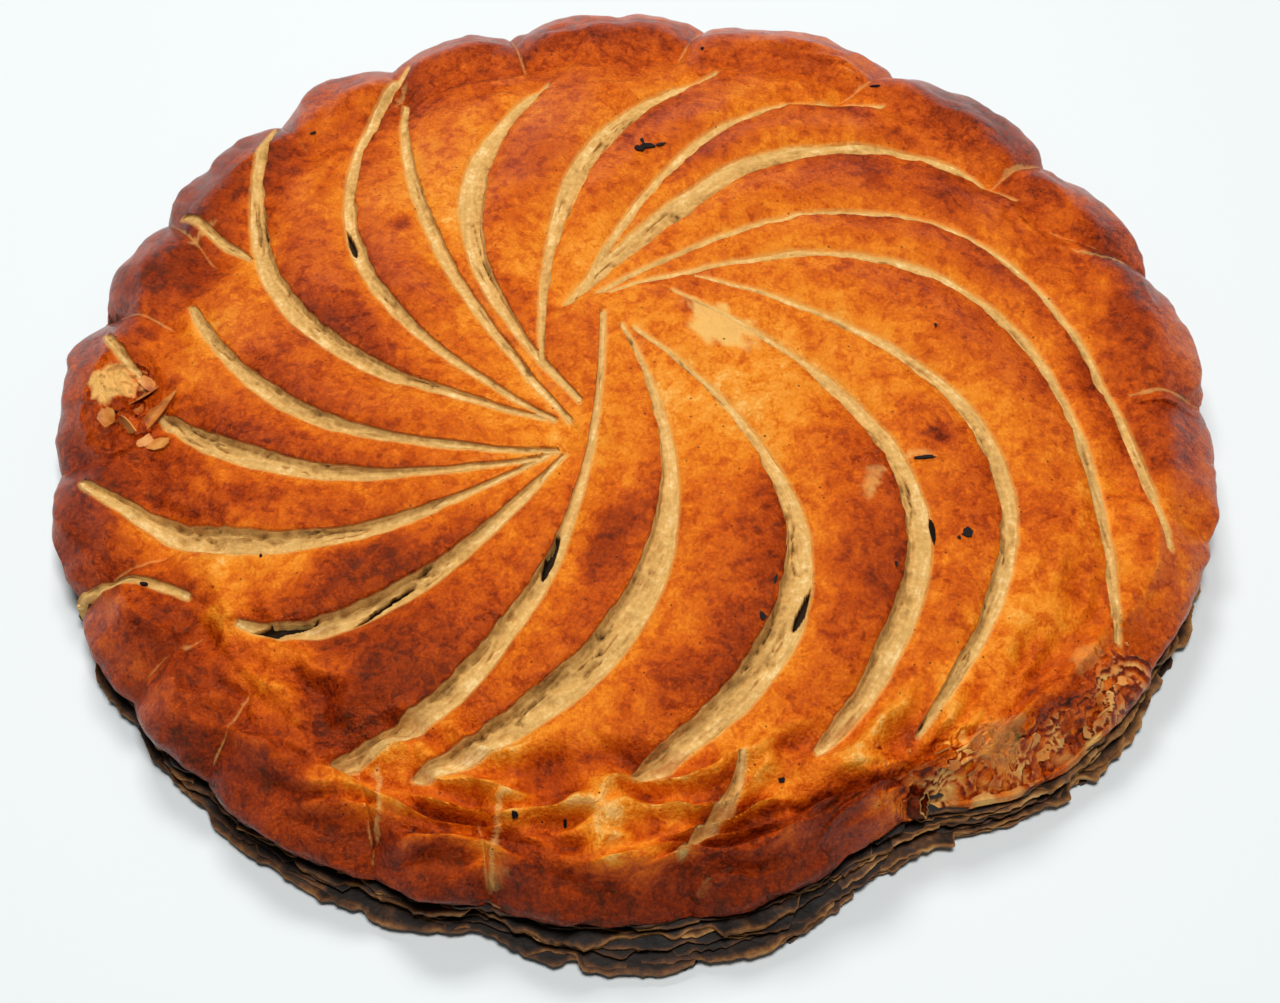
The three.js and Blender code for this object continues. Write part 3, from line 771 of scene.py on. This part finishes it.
ribbons = []
for number, cut in enumerate(KNIFE_CUTS):
    points, ahead, travelled = knife_track(cut)
    length = travelled[-1]
    deselect_all()
    bpy.ops.mesh.primitive_grid_add(
        x_subdivisions=math.ceil(length / CRUMB_ALONG),
        y_subdivisions=math.ceil((cut[3] + UNDER_LIP + OVER_EDGE) / CRUMB_ACROSS),
        size=2,
    )
    ribbon = bpy.context.object
    close_below(1)
    a, b, level_below = positions(ribbon).T * MM
    along = (a + 1) / 2 * length
    edge_left, edge_right, depth = cut_section(number, along, length)
    width = edge_left + edge_right
    offset = (b + 1) / 2 * (width + UNDER_LIP + OVER_EDGE) - edge_right - UNDER_LIP
    turn_x = np.interp(along, travelled, ahead[:, 0])
    turn_y = np.interp(along, travelled, ahead[:, 1])
    x = np.interp(along, travelled, points[:, 0]) - turn_y * offset
    y = np.interp(along, travelled, points[:, 1]) + turn_x * offset
    inside = offset + edge_right
    share = np.clip(inside / width, 0, 1)
    lane = np.full(len(x), LANE * number)
    opened = np.clip((width - 1) / 3, 0, 1)
    ragged = streaks(along, lane + offset, 5, 2.4, 72) + 0.5 * streaks(along, lane + offset, 2.2, 1.4, 73)
    film = smoothstep(-0.1, 0.25, streaks(along, lane + 2 * share, 18, 1.3, 71) + 0.3 * ragged)
    hollow = np.clip(0.3 + 1.2 * streaks(along, lane, 15, 1, 81), 0.08, 1)
    wall = smoothstep(np.minimum(0.2, 0.05 * width), np.minimum(0.9, 0.22 * width), inside)
    gap = hollow * smoothstep(0.36, 0.14, share + 0.05 * ragged)
    floor = depth + 0.6 * opened * gap
    rim_drop = EDGE_ROUNDING * np.clip(width / OPEN_WIDTH, 0, 1) - RIM_ABOVE
    climb = np.clip((share - 0.12) / 0.88, 0, 1)
    drop = SKIN_THICKNESS * (1 - wall) + (floor + (rim_drop - floor) * climb) * wall
    cell = np.abs(streaks(along, lane + offset, 3.4, 1.6, 85))
    crack = smoothstep(0.12, 0.03, np.abs(streaks(along, lane + offset + 0.4 * ragged, 13, 1.5, 83)))
    crack *= smoothstep(-0.1, 0.3, streaks(along, lane, 11, 1, 86)) * (1 - smoothstep(0.75, 0.95, share))
    shaded_slit = np.zeros(len(x))
    for patch in SHADED_SLITS:
        shaded_slit = np.maximum(shaded_slit, smoothstep(1.15, 0.8, in_patch(x, y, patch) + 0.15 * ragged))
    soft = wall * (1 - 0.8 * smoothstep(0.55, 1, share))
    torn = 1.1 * (cell - 0.3) * (1 - 0.6 * film) + 0.3 * ragged + 0.7 * crack
    drop += opened * soft * torn + SLIT_DEPTH * shaded_slit
    drop += np.maximum(-inside, 0) + 1.3 * np.maximum(inside - width, 0)
    radius, bearing = before_drawing(x, y)
    z = crust_top(x, y, radius, bearing, cut_fields(x, y)["puff"]) - drop
    z = np.where(level_below < -0.5, z - CRUMB_THICKNESS, z)
    move_to(ribbon, np.stack([x, y, z], axis=1))
    # Painted shade: darker toward the upright lip, in deep torn cells, in cracks, near black in slits.
    tone = 0.5 + 0.2 * smoothstep(0.1, 0.8, share) + 0.06 * film - 1.5 * shaded_slit - 0.3 * crack
    tone += 0.3 * (0.3 - cell) * (1 - 0.5 * film) * (1 - 0.6 * share) + 0.07 * ragged
    set_attribute(ribbon, "tone", tone)
    set_attribute(ribbon, "along", along / THREAD_LENGTH)
    set_attribute(ribbon, "across", offset / THREAD_WIDTH + lane)
    ribbons.append(ribbon)
crumb = join_all(ribbons, "galette_crumb", SMOOTH_CRUMB)

# Puff pastry crumb: dry, matt, cream to tan, finely pored.
# Its tone carries painted shade under the lip and in the cells, cracks and slits of the cuts.
dough, tree, shader = new_material("puff_pastry_crumb")
place = add_node(tree, "ShaderNodeTexCoord").outputs["Object"]
depth_tone, along, across = (
    add_node(tree, "ShaderNodeAttribute", attribute_name=name).outputs["Fac"]
    for name in ("tone", "along", "across")
)
pores = add_node(tree, "ShaderNodeTexNoise", {
    "Vector": place, "Scale": 1 / (1.3 * MM), "Detail": 3.0, "Roughness": 0.6,
}).outputs["Fac"]
# Threads of dough drawn out along the cut, 7 mm long and under a millimetre wide
in_cut = add_node(tree, "ShaderNodeCombineXYZ", {0: along, 1: across}).outputs[0]
threads = add_node(tree, "ShaderNodeTexNoise", {
    "Vector": in_cut, "Scale": 1.0, "Detail": 3.0, "Roughness": 0.6,
}).outputs["Fac"]
tone = depth_tone
for texture, weight in ((pores, 0.8), (threads, 0.5)):
    tone = add_node(tree, "ShaderNodeMath", {
        0: texture, 1: weight, 2: tone,
    }, operation="MULTIPLY_ADD").outputs[0]
tone = add_node(tree, "ShaderNodeMath", {0: tone, 1: 0.65}, operation="SUBTRACT").outputs[0]
colour = add_node(tree, "ShaderNodeValToRGB", {"Fac": tone}, stops=(
    (0.0, "#2c1c0c"),
    (1.0, "#f2d498"),
    (0.1, "#6c4a22"),
    (0.28, "#a0753c"),
    (0.5, "#c69550"),
    (0.76, "#deae64"),
)).outputs["Color"]
bump = add_node(tree, "ShaderNodeBump", {"Height": tone, "Distance": 0.8 * MM, "Strength": 0.5}).outputs[0]
fill_sockets(tree, shader, {
    "Base Color": colour, "Roughness": 0.8, "Specular IOR Level": 0.2, "Normal": bump,
})
crumb.data.materials.append(dough)
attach(crumb, "root")

# The leaves of the side
# At the cut edge of both sheets the leaves of puff pastry have opened like the pages of a book. They
# are thin, brittle and ragged, of one dough with the cake, dark brown and paler at their torn edges.
LEAF_COUNT = 16
LEAF_TOP = 12.4
LEAF_BOTTOM = 0.7
LEAF_RADIUS = 148.4
LEAF_SPREAD = 1.8  # how much further in or out a leaf can end
LEAF_ROOT = 136
LEAF_STATIONS = 950
LEAF_LOWEST = 0.1
FULL_WAVE_HEIGHT = 5  # leaves below this lie flatter, because they rest on what the cake stands on
THICK_LEAVES = {3: 1.2, 8: 1.3, 13: 0.9}  # number from the top, and thickness
THICK_LEAF_REACH = 1.5
THIN_LEAF = 0.4
SAME_PLACE = 0.01  # points closer than this are one
SMOOTH_LEAF = 40
chance = np.random.default_rng(3)
leaves = []
for number in range(LEAF_COUNT):
    leaf_height = LEAF_TOP + (LEAF_BOTTOM - LEAF_TOP) * number / (LEAF_COUNT - 1)
    leaf_radius = LEAF_RADIUS + chance.uniform(-LEAF_SPREAD, LEAF_SPREAD)
    leaf_radius += THICK_LEAF_REACH if number in THICK_LEAVES else 0
    flattened = min(1, leaf_height / FULL_WAVE_HEIGHT)
    deselect_all()
    bpy.ops.mesh.primitive_grid_add(x_subdivisions=LEAF_STATIONS, y_subdivisions=2, size=2)
    leaf = bpy.context.object
    a, b, _ = positions(leaf).T * MM
    angle = -math.pi * (a + 1)
    bearing = np.degrees(angle) % 360
    rim_x = RIM_CIRCLE * np.cos(angle)
    rim_y = RIM_CIRCLE * np.sin(angle)
    outward = 1 - ((1 - b) / 2) ** 2
    ragged = 1.6 * unevenness(rim_x, rim_y, 14, 80 + number) + 0.6 * unevenness(rim_x, rim_y, 4, 95 + number)
    ragged += 0.5 * unevenness(rim_x, rim_y, 1.5, 110 + number)
    ragged -= 3 * smoothstep(0.1, 0.3, unevenness(rim_x, rim_y, 12, 155 + number))
    wave = 0.7 * unevenness(rim_x, rim_y, 24, 79) + 0.7 * unevenness(rim_x, rim_y, 6, 125 + number)
    wave += 1.1 * unevenness(rim_x, rim_y, 30, 170 + number)
    wave = wave * flattened
    radius = LEAF_ROOT + (leaf_radius + ragged - LEAF_ROOT) * outward
    drawn = draw_in(np.full(len(a), leaf_radius), bearing, np.full(len(a), leaf_height))
    radius -= drawn * (0.5 + 0.5 * outward)
    radius -= 0.7 * PINCH_RADIAL * pinch_at(radius, bearing)[0] * outward
    sag = 0.6 * outward ** 2 * (0.5 + unevenness(rim_x, rim_y, 12, 140 + number))
    z = np.maximum(leaf_height + wave - sag * flattened, LEAF_LOWEST)
    move_to(leaf, np.stack([radius * np.cos(angle), radius * np.sin(angle), z], axis=1))
    set_attribute(leaf, "outward", outward)
    # Painted light by side: the leaves are lighter toward bearing 350 and darker across from it, and each has
    # its own random tone.
    set_attribute(leaf, "side_light_and_tone", 0.12 * np.cos(np.radians(bearing - 350)) + 0.2 * chance.uniform(-1, 1))
    bpy.ops.object.mode_set(mode="EDIT")
    bpy.ops.mesh.select_all(action="SELECT")
    bpy.ops.mesh.remove_doubles(threshold=SAME_PLACE * MM)
    bpy.ops.object.mode_set(mode="OBJECT")
    apply_modifier(leaf, "SOLIDIFY", thickness=THICK_LEAVES.get(number, THIN_LEAF) * MM, offset=1)
    leaves.append(leaf)
side = join_all(leaves, "galette_side_leaves", SMOOTH_LEAF)

# Baked leaf of puff pastry: dull brown to tan, paler at the torn edge, dark where the oven caught it.
# Its colour also carries painted light by side and painted shade back from the torn edge.
leaf_pastry, tree, shader = new_material("baked_pastry_leaf")
place = add_node(tree, "ShaderNodeTexCoord").outputs["Object"]
outward, side_light_and_tone = (
    add_node(tree, "ShaderNodeAttribute", attribute_name=name).outputs["Fac"] for name in ("outward", "side_light_and_tone")
)
blotch = add_node(tree, "ShaderNodeTexNoise", {
    "Vector": place, "Scale": 1 / (5 * MM), "Detail": 4.0, "Roughness": 0.65,
}).outputs["Fac"]
# Darker back from the torn edge: the edge's own paler colour, and painted shade between the leaves.
edge = add_node(tree, "ShaderNodeMapRange", {
    "Value": outward, "From Min": 0.85, "From Max": 1.0, "To Min": -0.3, "To Max": 0.04,
}).outputs[0]
tone = add_node(tree, "ShaderNodeMath", {0: blotch, 1: 0.9, 2: edge}, operation="MULTIPLY_ADD").outputs[0]
tone = add_node(tree, "ShaderNodeMath", {0: tone, 1: side_light_and_tone}, operation="ADD").outputs[0]
colour = add_node(tree, "ShaderNodeValToRGB", {"Fac": tone}, stops=(
    (0.0, "#0c0906"),
    (1.0, "#dcb67c"),
    (0.28, "#26180e"),
    (0.45, "#5a3619"),
    (0.62, "#93602e"),
    (0.8, "#bf8d50"),
)).outputs["Color"]
bump = add_node(tree, "ShaderNodeBump", {"Height": blotch, "Distance": 0.8 * MM, "Strength": 0.6}).outputs[0]
fill_sockets(tree, shader, {
    "Base Color": colour, "Roughness": 0.6, "Specular IOR Level": 0.25, "Normal": bump,
})
side.data.materials.append(leaf_pastry)
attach(side, "root")

# The torn skin of the corner
# At the drawn-in corner the skin broke into scales that still hang on at their inner side and stand up
# at the outer one, each over the next, down to the edge. They are the same egg-washed skin.
FLAKE_RINGS = 3
FLAKE_SPOKES = 28
FLAKE_CORNERS = 7
FLAKE_POINTS = 1 + FLAKE_RINGS * FLAKE_SPOKES
FLAKE_THICKNESS = 0.35
SCALE_SINK = 0.4  # how deep the inner side of a scale sits in the crust
PLUMB_HEIGHT = 100  # above anything on the cake
STEEPEST = 0.25  # least upward part of the surface's direction where a flake can lie
CORNER_FROM = 304
CORNER_TO = 328
# Rows of scales: how far in from the edge, degrees apart, length, and how much skin is gone
SCALE_ROWS = (
    (8, 5, 4, 0.4),
    (5, 3.5, 3.5, 0.6),
    (2, 3, 3.5, 0.6),
)


def drop_on_crust(px, py):
    """Where a plumb line meets the crust, its direction there, and whether a flake can lie on it."""
    start = Vector((px * MM, py * MM, PLUMB_HEIGHT * MM))
    met, spot, normal, _ = crust.ray_cast(start, Vector((0, 0, -1)))
    return np.array(spot) / MM, np.array(normal), met and normal.z > STEEPEST


def flake_points(spot, normal, row, chance):
    """Points of one thin flake: rings round its middle, out to a ragged edge, lifted at its outer side."""
    px, py, length, width, turn, lift, sink, curl = row
    turns = np.arange(FLAKE_CORNERS) + chance.uniform(-0.35, 0.35, FLAKE_CORNERS)
    turns = turns * 2 * math.pi / FLAKE_CORNERS
    reaches = chance.uniform(0.6, 1.15, FLAKE_CORNERS)
    stations = np.arange(FLAKE_SPOKES) * FLAKE_CORNERS / FLAKE_SPOKES
    corners = np.arange(FLAKE_CORNERS)
    edge_u = np.interp(stations, corners, reaches * np.cos(turns), period=FLAKE_CORNERS)
    edge_v = np.interp(stations, corners, reaches * np.sin(turns), period=FLAKE_CORNERS)
    nibbled = 1 + 0.12 * chance.uniform(-1, 1, FLAKE_SPOKES)
    shares = np.arange(1, FLAKE_RINGS + 1) / FLAKE_RINGS
    u = np.concatenate([[0], (shares[:, None] * nibbled * edge_u).ravel()])
    v = np.concatenate([[0], (shares[:, None] * nibbled * edge_v).ravel()])
    rise = (lift + sink) * np.clip((u + 1) / 2, 0, 1.5) ** 2 - sink + curl * v * v
    forward = np.array([math.cos(turn), math.sin(turn), 0])
    forward = forward - normal * forward.dot(normal)
    forward /= np.linalg.norm(forward)
    sideways = np.cross(normal, forward)
    in_plane = spot + np.outer(u * length / 2, forward) + np.outer(v * width / 2, sideways)
    return in_plane + np.outer(rise, normal)


def flake_faces(start):
    """Faces of one flake whose points begin at that number."""
    faces = []
    for spoke in range(FLAKE_SPOKES):
        after = (spoke + 1) % FLAKE_SPOKES
        faces.append((start, start + 1 + spoke, start + 1 + after))
        for ring in range(FLAKE_RINGS - 1):
            inner = start + 1 + ring * FLAKE_SPOKES
            outer = inner + FLAKE_SPOKES
            faces.append((inner + spoke, outer + spoke, outer + after, inner + after))
    return faces


def make_flakes(name, rows, thickness, chance):
    """One joined mesh of flakes, from rows of place, length, width, turn, lift, sink, curl and bareness."""
    points = []
    faces = []
    browning = []
    bareness = []
    for row in rows:
        spot, normal, met = drop_on_crust(row[0], row[1])
        if met:
            faces += flake_faces(len(points))
            points += list(flake_points(spot, normal, row[:8], chance))
            browning += [chance.uniform(0.2, 0.5)] * FLAKE_POINTS
            bareness += [row[8]] * FLAKE_POINTS
    mesh = bpy.data.meshes.new(name)
    mesh.from_pydata([tuple(point * MM) for point in points], [], faces)
    thing = bpy.data.objects.new(name, mesh)
    bpy.context.scene.collection.objects.link(thing)
    on_edge = np.arange(len(points)) % FLAKE_POINTS > (FLAKE_RINGS - 1) * FLAKE_SPOKES
    set_attribute(thing, "toast_and_painted_light", browning)
    set_attribute(thing, "edge", 1.03 * on_edge)
    set_attribute(thing, "bare", bareness)
    apply_modifier(thing, "SOLIDIFY", thickness=thickness * MM, offset=1)
    deselect_all()
    thing.select_set(True)
    bpy.ops.object.shade_smooth_by_angle(angle=math.radians(SMOOTH_LEAF))
    return thing


chance = np.random.default_rng(5)
rows = []
for inward, spacing, size, bareness in SCALE_ROWS:
    for bearing in np.arange(CORNER_FROM, CORNER_TO, spacing):
        at = math.radians(bearing + chance.uniform(-1.2, 1.2))
        corner_edge = np.interp(math.degrees(at), CORNER_BEARINGS, CORNER_RADII)
        reach = corner_edge - inward + chance.uniform(-1.4, 1.4)
        length = size * chance.uniform(0.6, 1.2)
        rows.append((reach * math.cos(at), reach * math.sin(at), length, length * chance.uniform(1.0, 2.2),
                     at + chance.uniform(-0.5, 0.5), chance.uniform(0.0, 0.7), SCALE_SINK,
                     chance.uniform(-0.3, 0.2), bareness * chance.uniform(0.2, 1)))
scales = make_flakes("galette_torn_skin", rows, FLAKE_THICKNESS, chance)
scales.data.materials.append(pastry)
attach(scales, "root")

# The curled fold
# Beside the same corner the upper sheet folded over itself and rolled up, and the roll's end stands
# open. It is the same egg-washed skin, pale on its broken rim.
CURL_RADIUS = 2.9
CURL_LENGTH = 12
CURL_SIDES = 32
CURL_CUTS = 7
CURL_WALL = 0.6
CURL_SINK = 0.6  # how far the middle of its mouth lies below the crust
CURL_BROWNING = 0.7
CURL_SEAT = (62, -113)  # where the height of the crust is taken
CURL_MOUTH = (66.8, -111.2)
CURL_DIRECTION = Vector((0.8, -0.25, 0.35)).normalized()
deselect_all()
bpy.ops.mesh.primitive_cylinder_add(
    vertices=CURL_SIDES, radius=CURL_RADIUS * MM, depth=CURL_LENGTH * MM, end_fill_type="NOTHING")
curl = bpy.context.object
curl.name = "galette_curl"
bpy.ops.object.mode_set(mode="EDIT")
bpy.ops.mesh.select_all(action="SELECT")
bpy.ops.mesh.subdivide(number_cuts=CURL_CUTS)
bpy.ops.object.mode_set(mode="OBJECT")
a, b, c = positions(curl).T
along = c / CURL_LENGTH + 0.5
around = np.arctan2(b, a)
ragged = unevenness(around * 3, along * 0, 1, 64)
swell = 1 + 0.12 * np.sin(3 * around + 5 * along) - 0.15 * along
spot = drop_on_crust(*CURL_SEAT)[0]
axis = np.array(CURL_DIRECTION)
aside = np.array(CURL_DIRECTION.cross(Vector((0, 0, 1))).normalized())
above = np.cross(aside, axis)
mouth = np.array((*CURL_MOUTH, spot[2] - CURL_SINK))
centre = mouth + np.outer((along - 1) * CURL_LENGTH + 0.4 * ragged * along, axis)
move_to(curl, centre + np.outer(a * swell, aside) + np.outer(b * swell, above))
set_attribute(curl, "toast_and_painted_light", np.full(len(a), CURL_BROWNING))
set_attribute(curl, "edge", 1.05 * smoothstep(0.9, 1.0, along))
set_attribute(curl, "bare", np.zeros(len(a)))
apply_modifier(curl, "SOLIDIFY", thickness=CURL_WALL * MM, offset=-1)
bpy.ops.object.shade_smooth_by_angle(angle=math.radians(SMOOTH_SKIN))
curl.data.materials.append(pastry)
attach(curl, "root")

# The loose flakes
# Brittle bits of the outermost leaves that broke off and lie where they curled up: on the torn patch
# at the left, and as crumbs on the drawn-in corner. Each row is place, length, width, turn, lift, sink
# and curl.
LOOSE = (
    (-128, 0.8, 12, 8, 0.3, 1.6, 0.2, 0.6),
    (-123, -5, 15, 3.4, 0.85, 1.8, 0.1, 1.0),
    (-130, -8.6, 10, 6, 0.2, 1.2, 0.1, 0.5),
    (-135.5, -6, 7, 6, 1.4, 0.8, 0.1, 0.8),
    (-121.5, -14.3, 10, 4.5, -0.2, 0.5, 0.0, 0.1),
    (-125, -13, 6, 4, 0.6, 0.6, 0.0, 0.1),
    (-126, 5, 7, 5, 2.2, 0.9, 0.1, 0.3),
)
CRUMBS = 24
CRUMB_BEARINGS = (298, 334)
CRUMB_LIFT = 0.5
CRUMB_CURL = 0.2
rows = [row + (0.0,) for row in LOOSE]
for _ in range(CRUMBS):
    at = math.radians(chance.uniform(*CRUMB_BEARINGS))
    reach = np.interp(math.degrees(at), CORNER_BEARINGS, CORNER_RADII) - chance.uniform(1, 12)
    size = chance.uniform(0.6, 1.6)
    rows.append((reach * math.cos(at), reach * math.sin(at), size, size * chance.uniform(0.5, 1),
                 chance.uniform(0, 6), CRUMB_LIFT, 0.0, CRUMB_CURL, 0.0))
flakes = make_flakes("galette_flakes", rows, FLAKE_THICKNESS, chance)

# Broken skin: the same browned pastry, thinner and duller, orange on top and tan where it broke.
skin_flake, tree, shader = new_material("broken_pastry_skin")
place = add_node(tree, "ShaderNodeTexCoord").outputs["Object"]
blotch = add_node(tree, "ShaderNodeTexNoise", {
    "Vector": place, "Scale": 1 / (4 * MM), "Detail": 4.0, "Roughness": 0.6,
}).outputs["Fac"]
colour = add_node(tree, "ShaderNodeValToRGB", {"Fac": blotch}, stops=(
    (0.0, "#5a240c"),
    (1.0, "#f0c27a"),
    (0.35, "#b05a20"),
    (0.5, "#cf7c34"),
    (0.7, "#e0a052"),
)).outputs["Color"]
fill_sockets(tree, shader, {"Base Color": colour, "Roughness": 0.5, "Specular IOR Level": 0.25})
flakes.data.materials.append(skin_flake)
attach(flakes, "root")

# The burnt bits
# Crumbs and scraps of skin that charred on the crust, each where it stuck. They are dry and black, from
# one to nine millimetres long. Each row is place, length, width and turn.
BURNT_THICKNESS = 0.5
BURNT_LIFT = 0.3
# One of them, at the far border, is no charred bit but a black sheet over a dark slot: painted shade.
BURNT = (
    (0.5, 79.5, 3, 3, 0.0),
    (3, 81, 5.5, 2.4, 0.3),
    (6.5, 82, 2.6, 1.4, 0.2),
    (1.5, 83, 1.4, 2.8, 0.4),
    (53.5, 39.5, 3.2, 3.6, 0.4),
    (51, 39, 3, 1, 0.0),
    (51.5, 41, 2, 0.6, 0.6),
    (80, -47, 3.2, 3.4, 0.2),
    (78, -48.5, 1.2, 1, 0.2),
    (72, -46, 1.6, 8, 0.1),
    (38, -70, 1.8, 9, -0.6),
    (29.5, -72, 1.8, 2.4, 0.2),
    (33, -62, 1, 3.4, -0.3),
    (71, -25.8, 6, 1, 0.05),
    (33, -110, 2, 1.5, 0.0),
    (-27.5, -120, 2, 2, 0.0),
    (-16, -120.5, 0.9, 3, 0.0),
    (-91.5, 95, 3, 1, 0.3),
    (-120, -56, 2, 2, 0.0),
    (-91, -51, 1, 1, 0.0),
    (-134, -5, 3.5, 1.6, 0.3),
    (77, 16, 0.8, 1.6, 0.2),
    (-97, -0.6, 1.4, 1.5, 0.0),
    (62, -57, 1.2, 1.6, 0.0),
    # A black sheet over a slot of the far border: painted shade
    (68.5, 113.4, 3.4, 1, -0.5),
    (19, 128.5, 1.2, 1.2, 0.0),
)
rows = [row + (BURNT_LIFT, 0.0, 0.0, 0.0) for row in BURNT]
burnt = make_flakes("galette_burnt_bits", rows, BURNT_THICKNESS, np.random.default_rng(9))

# Charred pastry: black and matt.
char, tree, shader = new_material("charred_pastry")
fill_sockets(tree, shader, {"Base Color": linear("#120806"), "Roughness": 0.7, "Specular IOR Level": 0.2})
burnt.data.materials.append(char)
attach(burnt, "root")

# The floor, the studio lights and the camera
# A plain pale table, two soft lights, one overhead and one behind, and a camera that looks down on the
# cake from where the photograph was taken.
TABLE_SIZE = 6
SKY_STRENGTH = 0.1
deselect_all()
bpy.ops.mesh.primitive_plane_add(size=TABLE_SIZE)
table = bpy.context.object
table.name = "floor"
paper, tree, shader = new_material("pale_paper")
fill_sockets(tree, shader, {"Base Color": linear("#e8ecec"), "Roughness": 0.8})
table.data.materials.append(paper)

world = bpy.data.worlds.new("studio")
bpy.context.scene.world = world
world.use_nodes = True
sky = world.node_tree.nodes["Background"]
fill_sockets(world.node_tree, sky, {"Color": linear("#dff0f4"), "Strength": SKY_STRENGTH})


def soft_light(name, place, size, power):
    """A rectangular light that looks at the middle of the cake."""
    lamp = bpy.data.lights.new(name, "AREA")
    lamp.shape = "RECTANGLE"
    lamp.size, lamp.size_y = size
    lamp.energy = power
    thing = bpy.data.objects.new(name, lamp)
    bpy.context.scene.collection.objects.link(thing)
    thing.location = place
    thing.rotation_euler = (-Vector(place)).to_track_quat("-Z", "Y").to_euler()


soft_light("overhead", (0.05, -0.2, 1.4), (0.4, 0.35), 14)
soft_light("back", (-0.2, 0.9, 1.3), (0.6, 0.35), 12)

FOCAL_PIXELS = 2166
IMAGE_WIDTH = 1280
SENSOR_WIDTH = 36
ELEVATION = math.radians(55.2)
VIEW_DISTANCE = 550
TARGET = (0.8, -26, 15)
view = bpy.data.cameras.new("view")
view.sensor_width = SENSOR_WIDTH
view.lens = FOCAL_PIXELS / IMAGE_WIDTH * SENSOR_WIDTH
camera = bpy.data.objects.new("view", view)
bpy.context.scene.collection.objects.link(camera)
camera.location = (
    TARGET[0] * MM,
    (TARGET[1] - VIEW_DISTANCE * math.cos(ELEVATION)) * MM,
    (TARGET[2] + VIEW_DISTANCE * math.sin(ELEVATION)) * MM,
)
camera.rotation_euler = (math.pi / 2 - ELEVATION, 0, 0)
bpy.context.scene.camera = camera
bpy.context.scene.view_settings.view_transform = "Standard"
